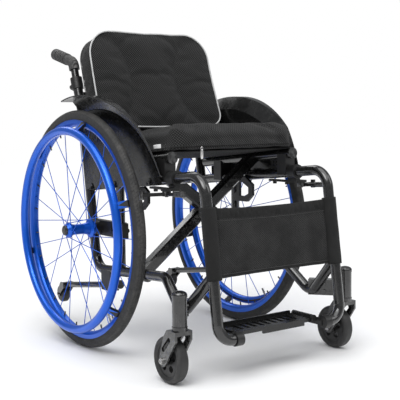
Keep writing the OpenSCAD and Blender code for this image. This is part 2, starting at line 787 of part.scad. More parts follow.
module cross_bolt() {
    far = bar_y + bar_t / 2 + seat_fit;
    color(steel_c) in_brace() translate([0, 0, brace_h / 2]) rotate([90, 0, 0]) {
        cylinder(h = 2 * far + 2, r = cross_bolt_r, center = true);
        cylinder(h = bar_gap - 2 * free_gap, r = cross_bolt_r + 8, center = true);
        for (s = [-1, 1])
            translate([0, 0, s * (far + free_gap + 4)]) cylinder(h = 8, r = cross_bolt_r + 5, center = true);
    }
}

module footplate() {
    near = plate_pin_x - knuckle_r - 1.5;
    width = near + clamp_in_x - 5;
    color(trim_c) difference() {
        union() {
            translate([near - width, plate_front_y, plate_bottom_z])
                cube([width, plate_back_y - plate_front_y, plate_t]);
            translate([plate_pin_x - knuckle_r - 4, plate_front_y + ear_t + free_gap, plate_bottom_z])
                cube([knuckle_r + 4, plate_back_y - plate_front_y - 2 * (ear_t + free_gap), plate_t]);
            translate([plate_pin_x, plate_back_y - ear_t - free_gap, plate_pin_z]) rotate([90, 0, 0])
                cylinder(h = plate_back_y - plate_front_y - 2 * (ear_t + free_gap), r = knuckle_r);
            translate([near - width * 0.66, plate_front_y, plate_bottom_z - 7]) cube([width * 0.56, 6, 8]);
            translate([near - width, plate_back_y - 5, plate_bottom_z]) cube([width - 6, 5, plate_t + 7]);
        }
        translate([plate_pin_x, 0, plate_pin_z]) rotate([90, 0, 0])
            cylinder(h = 2000, r = plate_pin_r + run_fit, center = true);
        for (i = [0:8])
            translate([near - width + 20 + i * (width - 60) / 8, plate_front_y + 16, plate_pin_z - 1])
                cube([12, 40, 10]);
    }
}

module seat_sling() {
    color(cloth_c) in_seat()
        translate([-side_x, 6, rail_r + free_gap]) cube([frame_width, rail_back_y - rail_front_y - 10, cloth_t]);
}

module seat_cushion() {
    color(cloth_c) in_seat()
        translate([-pad_half, -pad_overhang, rail_r + 2 * free_gap + cloth_t])
            cube([2 * pad_half, seat_depth, seat_pad_t]);
}

module back_sling() {
    half = side_x - tube_r - free_gap;
    low = up_z + 100;
    y0 = post_y(low);
    y1 = back_y(sling_top_z);
    translate([-half, 0, 0]) color(cloth_c) side_plate(0, 2 * half) polygon([
        [y0, low], [post_bend_y, post_bend_z], [y1, sling_top_z],
        [y1 + cloth_t, sling_top_z], [post_bend_y + cloth_t, post_bend_z], [y0 + cloth_t, low]
    ]);
}

module back_cushion() {
    gap = (clamp_r + 2 * free_gap) / cos(back_rake);
    z0 = back_pad_z;
    z1 = post_top_z + back_pad_over - 45;
    z2 = post_top_z + back_pad_over;
    y0 = back_y(z0) - gap;
    y1 = back_y(z1) - gap;
    translate([-pad_half, 0, 0]) color(cloth_c) side_plate(0, 2 * pad_half) polygon([
        [y0 - back_pad_t, z0], [y0, z0], [y1, z1], [y1 - 2, z2 - 8], [y1 - 10, z2],
        [y1 - back_pad_t + 4, z2], [y1 - back_pad_t - 8, z2 - 8], [y1 - back_pad_t - 10, z1]
    ]);
}

module calf_strap() {
    half = side_x - tube_r - free_gap;
    z0 = foot_z + 132;
    z1 = z0 + 150;
    slope = (foot_y - front_bend_y) / (foot_z - upper_z(front_bend_y));
    y0 = foot_y + (z0 - foot_z) * slope;
    y1 = foot_y + (z1 - foot_z) * slope;
    translate([-half, 0, 0]) color(cloth_c) side_plate(0, 2 * half) polygon([
        [y0 - 3, z0], [y0 + 3, z0], [y1 + 3, z1], [y1 - 3, z1]
    ]);
}

on_right() upper_tube();  // right_upper_tube
on_left() upper_tube();  // left_upper_tube
on_right() rear_tube();  // right_rear_tube
on_left() rear_tube();  // left_rear_tube
on_right() axle_plate();  // right_axle_plate
on_left() axle_plate();  // left_axle_plate
on_right() caster_housing();  // right_caster_housing
on_left() caster_housing();  // left_caster_housing
on_right() side_guard();  // right_side_guard
on_left() side_guard();  // left_side_guard
on_right() rail_brackets();  // right_rail_brackets
on_left() rail_brackets();  // left_rail_brackets
on_right() foot_clamp(false);  // right_foot_clamp
on_left() foot_clamp(true);  // left_foot_clamp
on_right() post_collar();  // right_post_collar
on_left() post_collar();  // left_post_collar
on_right() tip_socket();  // right_tip_socket
on_left() tip_socket();  // left_tip_socket
on_right() push_handle();  // right_push_handle
on_left() push_handle();  // left_push_handle
on_right() grip();  // right_grip
on_left() grip();  // left_grip
on_right() axle();  // right_axle
on_left() axle();  // left_axle
on_right() hub();  // right_hub
on_left() hub();  // left_hub
on_right() spokes_group();  // right_spokes
on_left() spokes_group();  // left_spokes
on_right() rim();  // right_rim
on_left() rim();  // left_rim
on_right() tyre();  // right_tyre
on_left() tyre();  // left_tyre
on_right() handrim();  // right_handrim
on_left() handrim();  // left_handrim
on_right() caster_fork();  // right_caster_fork
on_left() caster_fork();  // left_caster_fork
on_right() caster_hub();  // right_caster_hub
on_left() caster_hub();  // left_caster_hub
on_right() caster_tyre();  // right_caster_tyre
on_left() caster_tyre();  // left_caster_tyre
on_right() caster_bolt();  // right_caster_bolt
on_left() caster_bolt();  // left_caster_bolt
on_right() brake_body();  // right_brake_body
on_left() brake_body();  // left_brake_body
on_right() brake_lever();  // right_brake_lever
on_left() brake_lever();  // left_brake_lever
on_right() tip_tube();  // right_tip_tube
on_left() tip_tube();  // left_tip_tube
on_right() tip_wheel();  // right_tip_wheel
on_left() tip_wheel();  // left_tip_wheel
in_middle() cross_bar_a();
in_middle() cross_bar_b();
in_middle() cross_bolt();
in_middle() footplate();
in_middle() seat_sling();
in_middle() back_sling();
in_middle() seat_cushion();
in_middle() back_cushion();
in_middle() calf_strap();
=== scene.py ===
import math

import bpy
import bmesh
from mathutils import Matrix, Vector, noise


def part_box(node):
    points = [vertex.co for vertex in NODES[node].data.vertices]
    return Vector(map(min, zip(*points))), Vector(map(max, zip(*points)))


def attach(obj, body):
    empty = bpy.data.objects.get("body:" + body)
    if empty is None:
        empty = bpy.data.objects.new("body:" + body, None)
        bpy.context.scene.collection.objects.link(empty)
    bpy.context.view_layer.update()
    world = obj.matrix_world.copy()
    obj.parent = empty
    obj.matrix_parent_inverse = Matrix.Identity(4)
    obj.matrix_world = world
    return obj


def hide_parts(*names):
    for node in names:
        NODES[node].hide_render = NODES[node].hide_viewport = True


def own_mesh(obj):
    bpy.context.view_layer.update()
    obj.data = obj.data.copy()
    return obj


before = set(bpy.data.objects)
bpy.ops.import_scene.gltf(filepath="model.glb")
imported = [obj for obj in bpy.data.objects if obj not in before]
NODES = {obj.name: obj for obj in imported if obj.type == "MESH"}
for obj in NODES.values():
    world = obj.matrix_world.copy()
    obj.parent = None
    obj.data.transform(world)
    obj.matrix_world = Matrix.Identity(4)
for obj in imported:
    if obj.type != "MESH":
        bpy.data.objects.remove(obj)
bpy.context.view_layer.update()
SIDES = (("right", -1), ("left", 1))
MM = 0.001


# ---------------------------------------------------------------- places read from the frame

def middle(node):
    low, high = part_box(node)
    return (low + high) / 2


def span(node):
    low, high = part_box(node)
    return high - low


WHEEL = {side: middle(f"{side}_tyre") for side, _ in SIDES}
WHEEL_R = span("left_tyre").z / 2
TYRE_W = span("left_tyre").x
RIM_R = span("left_rim").z / 2
SIDE_X = middle("left_push_handle").x
TUBE_R = 12.5 * MM
SPOKES = 24
GUARD_FACE_X = SIDE_X + 25 * MM
RAIL_SADDLE_X = SIDE_X + 15 * MM
FIT_SHIFT_Y = 104.25 * MM  # the CAD source's y = 0, in the row frame
GUARD_SCREW_Y = [FIT_SHIFT_Y + y * MM for y in (-262, -105, 8)]
REAR_SADDLE_SCREW_Y = [FIT_SHIFT_Y + y * MM for y in (-26, -44)]
UPPER_TUBE_Z = 399 * MM
UPPER_TUBE_Y = 100 * MM
SEAT_TILT = math.radians(5.5)
BACK_RAKE = math.radians(18)


# ---------------------------------------------------------------- node trees

class Finish:
    """A procedural material under construction. Every method adds one node and returns its output."""

    def __init__(self, name):
        self.material = bpy.data.materials.new(name)
        self.material.use_nodes = True
        self.tree = self.material.node_tree
        self.shader = self.tree.nodes["Principled BSDF"]
        self.place = self.add("ShaderNodeTexCoord").outputs["Object"]

    def add(self, kind, **values):
        node = self.tree.nodes.new(kind)
        for key, value in values.items():
            setattr(node, key, value)
        return node

    def feed(self, socket, value):
        if isinstance(value, bpy.types.NodeSocket):
            self.tree.links.new(value, socket)
        else:
            socket.default_value = value

    def math(self, operation, *values):
        node = self.add("ShaderNodeMath", operation=operation)
        for socket, value in zip(node.inputs, values):
            self.feed(socket, value)
        return node.outputs[0]

    def noise(self, scale, detail=3.0, rough=0.55, at=None, stretch=None):
        where = at or self.place
        if stretch:
            mapping = self.add("ShaderNodeMapping")
            self.feed(mapping.inputs["Vector"], where)
            mapping.inputs["Scale"].default_value = stretch
            where = mapping.outputs[0]
        node = self.add("ShaderNodeTexNoise")
        self.feed(node.inputs["Vector"], where)
        node.inputs["Scale"].default_value = scale
        node.inputs["Detail"].default_value = detail
        node.inputs["Roughness"].default_value = rough
        return node.outputs["Fac"]

    def fit(self, value, low, high, to_low, to_high):
        """value from low..high to to_low..to_high, held at the ends."""
        node = self.add("ShaderNodeMapRange")
        for socket, number in zip(node.inputs, (value, low, high, to_low, to_high)):
            self.feed(socket, number)
        return node.outputs[0]

    def blend(self, factor, first, second):
        """Colour first where factor is 0, second where it is 1."""
        node = self.add("ShaderNodeMix", data_type="RGBA")
        self.feed(node.inputs[0], factor)
        self.feed(node.inputs[6], first)
        self.feed(node.inputs[7], second)
        return node.outputs[2]

    def axes(self, where=None):
        node = self.add("ShaderNodeSeparateXYZ")
        self.feed(node.inputs[0], where or self.place)
        return node.outputs

    def vector(self, x, y, z):
        node = self.add("ShaderNodeCombineXYZ")
        for socket, value in zip(node.inputs, (x, y, z)):
            self.feed(socket, value)
        return node.outputs[0]

    def bump(self, height, depth, strength=1.0):
        node = self.add("ShaderNodeBump")
        node.inputs["Distance"].default_value = depth
        node.inputs["Strength"].default_value = strength
        self.feed(node.inputs["Height"], height)
        if self.shader.inputs["Normal"].is_linked:
            self.feed(node.inputs["Normal"], self.shader.inputs["Normal"].links[0].from_socket)
        self.feed(self.shader.inputs["Normal"], node.outputs[0])

    def edges(self, low=0.5, high=0.62):
        """1 on worn outer edges, 0 elsewhere, broken up by noise."""
        sharp = self.fit(self.add("ShaderNodeNewGeometry").outputs["Pointiness"], low, high, 0.0, 1.0)
        return self.math("MULTIPLY", sharp, self.fit(self.noise(90), 0.4, 0.65, 0.0, 1.0))

    def set(self, **values):
        for key, value in values.items():
            self.feed(self.shader.inputs[key.replace("_", " ")], value)
        return self.material


def grey(level, warm=0.0):
    return (level * (1 + warm), level, level * (1 - warm), 1)


def lacquer():
    f = Finish("frame_lacquer")
    cloud = f.noise(14)
    dust = f.fit(f.noise(420, 5), 0.6, 0.75, 0.0, 0.35)
    base = f.blend(cloud, grey(0.004), grey(0.010))
    base = f.blend(dust, base, grey(0.03, 0.03))
    base = f.blend(f.edges(0.52, 0.66), base, grey(0.09))
    f.bump(f.noise(700, 1), 0.00002)
    f.bump(f.noise(60, 2), 0.00012)
    return f.set(
        Base_Color=base, Roughness=f.fit(f.noise(120, 4), 0.3, 0.7, 0.14, 0.30),
        Coat_Weight=0.7, Coat_Roughness=0.06, Specular_IOR_Level=0.5,
    )


def moulded(name, dark, light, rough, worn=0.5, grain_depth=0.03 * MM):
    f = Finish(name)
    grain = f.noise(1500, 2)
    base = f.blend(f.noise(22, 4), grey(dark), grey(light))
    if worn:
        base = f.blend(f.math("MULTIPLY", f.edges(0.54, 0.7), worn), base, grey(light * 2.0))
    f.bump(grain, grain_depth)
    return f.set(Base_Color=base, Roughness=f.fit(f.noise(70, 4), 0.3, 0.7, rough - 0.07, rough + 0.09))


def anodised(name, turned_about=None):
    """Blue anodised metal, with fine turning marks round the wheel's axis."""
    f = Finish(name)
    x, y, z = f.axes()
    centre = turned_about or Vector((0, 0, 0))
    dy = f.math("SUBTRACT", y, centre.y)
    dz = f.math("SUBTRACT", z, centre.z)
    radius = f.math("SQRT", f.math("ADD", f.math("MULTIPLY", dy, dy), f.math("MULTIPLY", dz, dz)))
    turned = f.noise(1, 3, at=f.vector(f.math("MULTIPLY", radius, 1800.0), f.math("MULTIPLY", x, 1800.0), 0.0))
    cloud = f.noise(9, 3)
    base = f.blend(cloud, (0.001, 0.082, 0.52, 1), (0.003, 0.130, 0.74, 1))
    base = f.blend(f.fit(f.noise(300, 5), 0.66, 0.78, 0.0, 0.5), base, (0.02, 0.22, 0.86, 1))
    f.bump(turned, 0.00002)
    rough = f.math("ADD", f.fit(turned, 0.3, 0.7, 0.0, 0.06), f.fit(f.noise(40), 0.3, 0.7, 0.26, 0.33))
    return f.set(Base_Color=base, Metallic=0.6, Roughness=rough, Coat_Weight=0.35, Coat_Roughness=0.12)


def rubber(name, dark, light, grain=900, rough=0.72, rib=0):
    f = Finish(name)
    if rib:
        _, y, _ = f.axes()
        f.bump(f.math("SINE", f.math("MULTIPLY", y, 2 * math.pi / rib)), 0.0012)
    scuffs = f.fit(f.noise(35, 6, 0.7), 0.5, 0.72, 0.0, 1.0)
    base = f.blend(f.noise(160, 3), grey(dark), grey(light))
    base = f.blend(scuffs, base, grey(light * 1.7, 0.04))
    f.bump(f.noise(grain, 3), 0.00025)
    return f.set(Base_Color=base, Roughness=f.fit(f.noise(55, 4), 0.3, 0.7, rough - 0.1, rough + 0.1))


def tyre_rubber():
    """Dark rubber with moulded sipes across the tread and a fine knurl on the shoulders."""
    f = Finish("tyre_rubber")
    x, y, z = f.axes()
    dy = f.math("SUBTRACT", y, WHEEL["left"].y)
    dz = f.math("SUBTRACT", z, WHEEL["left"].z)
    radius = f.math("SQRT", f.math("ADD", f.math("MULTIPLY", dy, dy), f.math("MULTIPLY", dz, dz)))
    turn = f.math("ARCTAN2", dy, dz)
    lateral = f.math("ABSOLUTE", f.math("SUBTRACT", f.math("ABSOLUTE", x), WHEEL["left"].x))
    slant = f.math("ADD", f.math("MULTIPLY", turn, 210.0), f.math("MULTIPLY", lateral, 420.0))
    sipe = f.fit(f.math("SINE", slant), 0.72, 0.92, 1.0, 0.0)
    tread = f.fit(radius, WHEEL_R - 9 * MM, WHEEL_R - 7 * MM, 0.0, 1.0)
    knurl = f.math("MULTIPLY", f.math("SINE", f.math("MULTIPLY", turn, 900.0)), 0.5)
    shoulder = f.math("SUBTRACT", 1.0, tread)
    cut = f.math("ADD", f.math("MULTIPLY", sipe, tread), f.math("MULTIPLY", knurl, f.math("MULTIPLY", shoulder, 0.3)))
    scuffs = f.math("MULTIPLY", tread, f.fit(f.noise(50, 5, 0.65), 0.42, 0.7, 0.0, 0.8))
    base = f.blend(f.noise(200), grey(0.018), grey(0.030))
    base = f.blend(scuffs, base, grey(0.058, 0.05))
    f.bump(cut, 0.0012)
    f.bump(f.noise(1100), 0.0002)
    return f.set(Base_Color=base, Roughness=f.fit(f.noise(80, 4), 0.3, 0.7, 0.58, 0.78))


def steel(name, level=0.5, rough=0.3):
    f = Finish(name)
    streak = f.noise(500, 3, stretch=(1, 1, 0.12))
    base = f.blend(f.noise(30, 4), grey(level * 0.75), grey(level, 0.02))
    f.bump(streak, 0.00008)
    return f.set(Base_Color=base, Metallic=1.0, Roughness=f.fit(streak, 0.3, 0.7, rough - 0.08, rough + 0.12))


def black_steel():
    f = Finish("black_steel")
    base = f.blend(f.noise(60, 4), grey(0.012), grey(0.028))
    base = f.blend(f.edges(), base, grey(0.22))
    f.bump(f.noise(900), 0.0001)
    return f.set(Base_Color=base, Metallic=0.6, Roughness=f.fit(f.noise(120), 0.3, 0.7, 0.28, 0.45))


def facing(f):
    """How much the rest surface faces X, Y and Z, so that a weave runs true on every side."""
    normal = f.add("ShaderNodeTexCoord").outputs["Normal"]
    x, y, z = (f.math("ABSOLUTE", n) for n in f.axes(normal))
    side = f.math("GREATER_THAN", x, f.math("MAXIMUM", y, z))
    top = f.math("GREATER_THAN", z, f.math("MULTIPLY", y, 1.0))
    return side, top


def flat_place(f):
    """Two coordinates along the cloth: (y, z) on the sides, (x, y) on top and (x, z) in front."""
    side, top = facing(f)
    x, y, z = f.axes()
    depth = f.math("ADD", f.math("MULTIPLY", top, y), f.math("MULTIPLY", f.math("SUBTRACT", 1.0, top), z))
    across = f.math("ADD", f.math("MULTIPLY", side, y), f.math("MULTIPLY", f.math("SUBTRACT", 1.0, side), x))
    along = f.math("ADD", f.math("MULTIPLY", side, z), f.math("MULTIPLY", f.math("SUBTRACT", 1.0, side), depth))
    return across, along


def spacer_mesh():
    """Three-dimensional knitted spacer fabric: staggered open eyelets in diagonal rows, with painted shade in the
    eyelets and a painted highlight on the knit's raised crests.
    """
    f = Finish("spacer_mesh")
    across, along = flat_place(f)
    pitch = 2 * math.pi / (6.4 * MM)
    one = f.math("SINE", f.math("MULTIPLY", f.math("ADD", across, along), pitch))
    two = f.math("SINE", f.math("MULTIPLY", f.math("SUBTRACT", across, f.math("MULTIPLY", along, 0.8)), pitch * 1.15))
    knit = f.fit(f.math("ADD", f.math("MULTIPLY", one, 0.62), f.math("MULTIPLY", two, 0.38)), -0.8, 0.8, 0.0, 1.0)
    eyelet_painted_shade = f.fit(knit, 0.16, 0.42, 1.0, 0.0)
    thread = f.noise(2600, 2)
    base = f.blend(thread, grey(0.008), grey(0.017))
    # painted highlight: the knit's raised crests are coloured lighter
    base = f.blend(f.fit(knit, 0.55, 0.95, 0.0, 0.9), base, grey(0.060))
    # painted shade: the open eyelets are coloured near black
    base = f.blend(eyelet_painted_shade, base, grey(0.002))
    base = f.blend(f.fit(f.noise(11, 3), 0.45, 0.75, 0.0, 0.2), base, grey(0.026))
    f.bump(knit, 0.0011)
    f.bump(thread, 0.0002)
    return f.set(Base_Color=base, Roughness=0.86, Sheen_Weight=0.06, Sheen_Roughness=0.5, Specular_IOR_Level=0.18)


def woven(name, pitch, dark, light, depth=0.0004, sheen=0.04):
    """Plain weave: over and under threads on a square grid, coloured by their height: painted highlight on the raised
    crossings and painted shade in the low points.
    """
    f = Finish(name)
    across, along = flat_place(f)
    k = math.pi / pitch
    warp = f.math("SINE", f.math("MULTIPLY", across, k))
    weft = f.math("SINE", f.math("MULTIPLY", along, k))
    over = f.math("MULTIPLY", warp, weft)
    height = f.fit(over, -0.9, 0.9, 0.0, 1.0)
    # painted highlight and shade: raised crossings lighter, low points darker
    base = f.blend(height, grey(dark), grey(light))
    base = f.blend(f.fit(f.noise(25, 4), 0.45, 0.75, 0.0, 0.4), base, grey(light * 1.5))
    f.bump(height, depth)
    f.bump(f.noise(2200), 0.0001)
    return f.set(Base_Color=base, Roughness=0.8, Sheen_Weight=sheen, Sheen_Roughness=0.5, Specular_IOR_Level=0.2)


def net_cloth():
    """Open net over black lining: bright threads round small diamond openings."""
    f = Finish("strap_net")
    across, along = flat_place(f)
    pitch = 2 * math.pi / (5.0 * MM)
    bent = f.math("ADD", across, f.math("MULTIPLY", f.noise(18, 2), 6 * MM))
    one = f.math("ABSOLUTE", f.math("SINE", f.math("MULTIPLY", f.math("ADD", bent, along), pitch / 2)))
    two = f.math("ABSOLUTE", f.math("SINE", f.math("MULTIPLY", f.math("SUBTRACT", bent, along), pitch / 2)))
    opening = f.fit(f.math("MINIMUM", one, two), 0.18, 0.45, 0.0, 1.0)
    base = f.blend(opening, grey(0.060), grey(0.002))
    base = f.blend(f.fit(f.noise(14, 3), 0.38, 0.6, 0.0, 0.9), base, grey(0.006))
    f.bump(f.math("SUBTRACT", 1.0, opening), 0.0014)
    return f.set(Base_Color=base, Roughness=0.7, Sheen_Weight=0.05, Specular_IOR_Level=0.25)


def piping_cloth():
    f = Finish("reflective_piping")
    thread = f.noise(1500, 2)
    base = f.blend(thread, grey(0.42), grey(0.62))
    base = f.blend(f.fit(f.noise(30), 0.5, 0.7, 0.0, 0.5), base, grey(0.30))
    f.bump(thread, 0.0003)
    return f.set(Base_Color=base, Roughness=f.fit(thread, 0.3, 0.7, 0.35, 0.55), Specular_IOR_Level=0.6)


def label_cloth():
    f = Finish("blank_label")
    thread = f.noise(1800, 2, stretch=(1, 1, 6))
    f.bump(thread, 0.0002)
    return f.set(Base_Color=f.blend(thread, grey(0.62), grey(0.80)), Roughness=0.75)


def floor_finish():
    f = Finish("floor_sweep")
    base = f.blend(f.noise(0.8, 2), grey(0.86), grey(0.90))
    f.bump(f.noise(60, 2), 0.0003)
    x, y, _ = f.axes()
    far = f.math("SQRT", f.math("ADD", f.math("MULTIPLY", x, x), f.math("MULTIPLY", y, y)))
    fade = f.fit(far, 0.7, 2.6, 0.0, 1.0)
    return f.set(
        Base_Color=f.blend(fade, base, grey(0)), Roughness=f.fit(f.noise(3), 0.3, 0.7, 0.50, 0.62),
        Specular_IOR_Level=0.1, Emission_Color=(1, 1, 1, 1), Emission_Strength=fade,
    )


LACQUER = lacquer()
TRIM = moulded("satin_plastic", 0.006, 0.012, 0.42)
GLOSS = moulded("gloss_plastic", 0.004, 0.008, 0.22, worn=0, grain_depth=0.003 * MM)
BLUE = anodised("blue_rim", WHEEL["left"])
TYRE = tyre_rubber()
GRIP = rubber("grip_rubber", 0.040, 0.070, 1300, 0.62, rib=5 * MM)
CASTER = rubber("caster_rubber", 0.014, 0.026, 700, 0.5)
STEEL = steel("zinc_steel")
BRIGHT = steel("bright_steel", 0.75, 0.2)
BLACK_STEEL = black_steel()
SPACER = spacer_mesh()
SLING = woven("sling_nylon", 1.1 * MM, 0.005, 0.014)
WEBBING = woven("webbing", 1.6 * MM, 0.006, 0.018, 0.0006)
NET = net_cloth()
PIPING = piping_cloth()
LABEL = label_cloth()
THREAD = woven("seam_thread", 0.9 * MM, 0.03, 0.07)

NODE_FINISH = {
    "upper_tube": LACQUER, "rear_tube": LACQUER, "axle_plate": TRIM, "caster_housing": LACQUER,
    "side_guard": GLOSS, "rail_brackets": TRIM, "foot_clamp": TRIM, "post_collar": TRIM,
    "tip_socket": TRIM, "push_handle": LACQUER, "grip": GRIP, "axle": BLACK_STEEL, "hub": BLUE,
    "spokes": BLUE, "rim": BLUE, "tyre": TYRE, "handrim": BLUE, "caster_fork": LACQUER,
    "caster_hub": TRIM, "caster_tyre": CASTER, "caster_bolt": STEEL, "brake_body": TRIM,
    "brake_lever": BLACK_STEEL, "tip_tube": LACQUER, "tip_wheel": CASTER, "cross_bar_a": LACQUER,
    "cross_bar_b": LACQUER, "cross_bolt": STEEL, "footplate": GLOSS, "seat_sling": SLING,
    "back_sling": SLING, "seat_cushion": SPACER, "back_cushion": SPACER, "calf_strap": NET,
}


def finish_nodes():
    for name, node in NODES.items():
        kind = name.split("_", 1)[1] if name.split("_")[0] in ("left", "right") else name
        node.data.materials.clear()
        node.data.materials.append(NODE_FINISH[kind])


def darken_tabs(side):
    """The tabs that hold the handrim are black, inside its blue ring."""
    node = NODES[f"{side}_handrim"]
    node.data.materials.append(TRIM)
    low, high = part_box(f"{side}_handrim")
    ring_inner = max(abs(low.x), abs(high.x)) - 21 * MM
    for face in node.data.polygons:
        face.material_index = 1 if abs(face.center.x) < ring_inner + 0.3 * MM else 0


# ---------------------------------------------------------------- mesh helpers

def mesh_piece(name, points, faces, material, body, smooth=True):
    mesh = bpy.data.meshes.new(name)
    mesh.from_pydata([tuple(p) for p in points], [], faces)
    if smooth:
        mesh.shade_smooth()
    piece = bpy.data.objects.new(name, mesh)
    bpy.context.scene.collection.objects.link(piece)
    mesh.materials.append(material)
    if body:
        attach(piece, body)
    return piece


def lattice(rows, wrap_rows=False, wrap_columns=False):
    """Points and quads of a grid of points, closed round either way."""
    tall, wide = len(rows), len(rows[0])
    points = [p for row in rows for p in row]
    faces = []
    for i in range(tall if wrap_rows else tall - 1):
        for j in range(wide if wrap_columns else wide - 1):
            i2, j2 = (i + 1) % tall, (j + 1) % wide
            faces.append((i * wide + j, i * wide + j2, i2 * wide + j2, i2 * wide + j))
    return points, faces


def frame_along(path, closed):
    """At each point of the path, two directions square to it that don't twist."""
    count = len(path)
    ways = []
    for i in range(count):
        before = path[i - 1] if closed or i else path[0]
        after = path[(i + 1) % count] if closed or i < count - 1 else path[-1]
        ways.append((after - before).normalized())
    side = ways[0].orthogonal().normalized()
    frames = []
    for way in ways:
        side = (side - way * side.dot(way)).normalized()
        frames.append((side, way.cross(side)))
    return frames


def rope(name, path, radius, material, body, closed=False, sides=8, flat=1.0):
    """A round or flattened cord swept along a path."""
    path = [Vector(p) for p in path]
    rows = []
    for point, (one, two) in zip(path, frame_along(path, closed)):
        row = []
        for k in range(sides):
            a = 2 * math.pi * k / sides
            row.append(point + one * (radius * math.cos(a)) + two * (radius * flat * math.sin(a)))
        rows.append(row)
    points, faces = lattice(rows, wrap_rows=closed, wrap_columns=True)
    if not closed:
        faces.append(tuple(reversed(range(sides))))
        faces.append(tuple(len(points) - sides + k for k in range(sides)))
    return mesh_piece(name, points, faces, material, body)


def turned(name, profile, centre, axis, material, body, steps=48, closed=False, smooth=True):
    """profile is [(radius, along)] turned about axis through centre; an open profile is capped by its axis."""
    axis = Vector(axis).normalized()
    one = axis.orthogonal().normalized()
    two = axis.cross(one)
    rows = []
    for k in range(steps):
        a = 2 * math.pi * k / steps
        out = one * math.cos(a) + two * math.sin(a)
        rows.append([Vector(centre) + out * r + axis * x for r, x in profile])
    points, faces = lattice(rows, wrap_rows=True)
    if closed:
        wide = len(profile)
        faces += [
            (i * wide + wide - 1, i * wide, ((i + 1) % steps) * wide, ((i + 1) % steps) * wide + wide - 1)
            for i in range(steps)
        ]
    piece = mesh_piece(name, points, faces, material, None, smooth)
    tidy(piece)
    if body:
        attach(piece, body)
    return piece


def tidy(piece):
    """Welds points that fell together, drops empty faces and turns every face outwards."""
    work = bmesh.new()
    work.from_mesh(piece.data)
    bmesh.ops.remove_doubles(work, verts=work.verts, dist=1e-6)
    bmesh.ops.dissolve_degenerate(work, edges=work.edges, dist=1e-7)
    bmesh.ops.recalc_face_normals(work, faces=work.faces)
    work.to_mesh(piece.data)
    work.free()


def sharpen(piece, degrees=35):
    piece.data.set_sharp_from_angle(angle=math.radians(degrees))


def joined(name, parts, body):
    """Several meshes as one piece."""
    work = bmesh.new()
    materials = []
    for part in parts:
        offset = len(materials)
        materials += list(part.data.materials)
        start = len(work.faces)
        work.from_mesh(part.data)
        work.faces.ensure_lookup_table()
        for face in work.faces[start:]:
            face.material_index += offset
    mesh = bpy.data.meshes.new(name)
    work.to_mesh(mesh)
    work.free()
    for material in materials:
        mesh.materials.append(material)
    for part in parts:
        bpy.data.objects.remove(part)
    piece = bpy.data.objects.new(name, mesh)
    bpy.context.scene.collection.objects.link(piece)
    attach(piece, body)
    return piece


def screw(name, at, axis, radius, body, material=None, height=None):
    """A socket cap screw's head: chamfered rim and a six-sided recess."""
    axis = Vector(axis).normalized()
    height = height or radius * 0.9
    material = material or BLACK_STEEL
    one = axis.orthogonal().normalized()
    two = axis.cross(one)
    rings = (
        (1.0, 0.0, 24), (1.0, 0.82, 24), (0.9, 1.0, 24), (0.62, 1.0, 24),
        (0.52, 0.96, 6), (0.50, 0.45, 6), (0.0, 0.40, 6),
    )
    rows = []
    for share, up, corners in rings:
        row = []
        for k in range(24):
            a = 2 * math.pi * k / 24
            reach = share
            if corners == 6:
                within = (a + math.pi / 6) % (math.pi / 3) - math.pi / 6
                reach = share * math.cos(math.pi / 6) / math.cos(within)
            row.append(Vector(at) + (one * math.cos(a) + two * math.sin(a)) * radius * reach + axis * height * up)
        rows.append(row)
    points, faces = lattice(rows, wrap_columns=True)
    piece = mesh_piece(name, points, faces, material, None)
    tidy(piece)
    sharpen(piece, 30)
    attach(piece, body)
    return piece


# ---------------------------------------------------------------- padded pieces

def round_corner(x, y, half_w, half_h, corners):
    """Moves a point of a square grid into an outline with round corners, keeping the cells even."""
    corner = corners[0] if y < 0 else corners[1]
    cx, cy = abs(x) - (half_w - corner), abs(y) - (half_h - corner)
    if cx <= 0 or cy <= 0:
        return x, y
    u, v = cx / corner, cy / corner
    new_x = half_w - corner + corner * u * math.sqrt(1 - v * v / 2)
    new_y = half_h - corner + corner * v * math.sqrt(1 - u * u / 2)
    return math.copysign(new_x, x), math.copysign(new_y, y)


def round_edge(ahead, high, top, radius):
    """Rounds the upper edge of a pad: ahead is the way in from its side, high the way up from its base."""
    u, v = (radius - ahead) / radius, (high - top + radius) / radius
    if u <= 0 or v <= 0:
        return ahead, high
    return radius * (1 - u * math.sqrt(1 - v * v / 2)), top - radius + radius * v * math.sqrt(1 - u * u / 2)


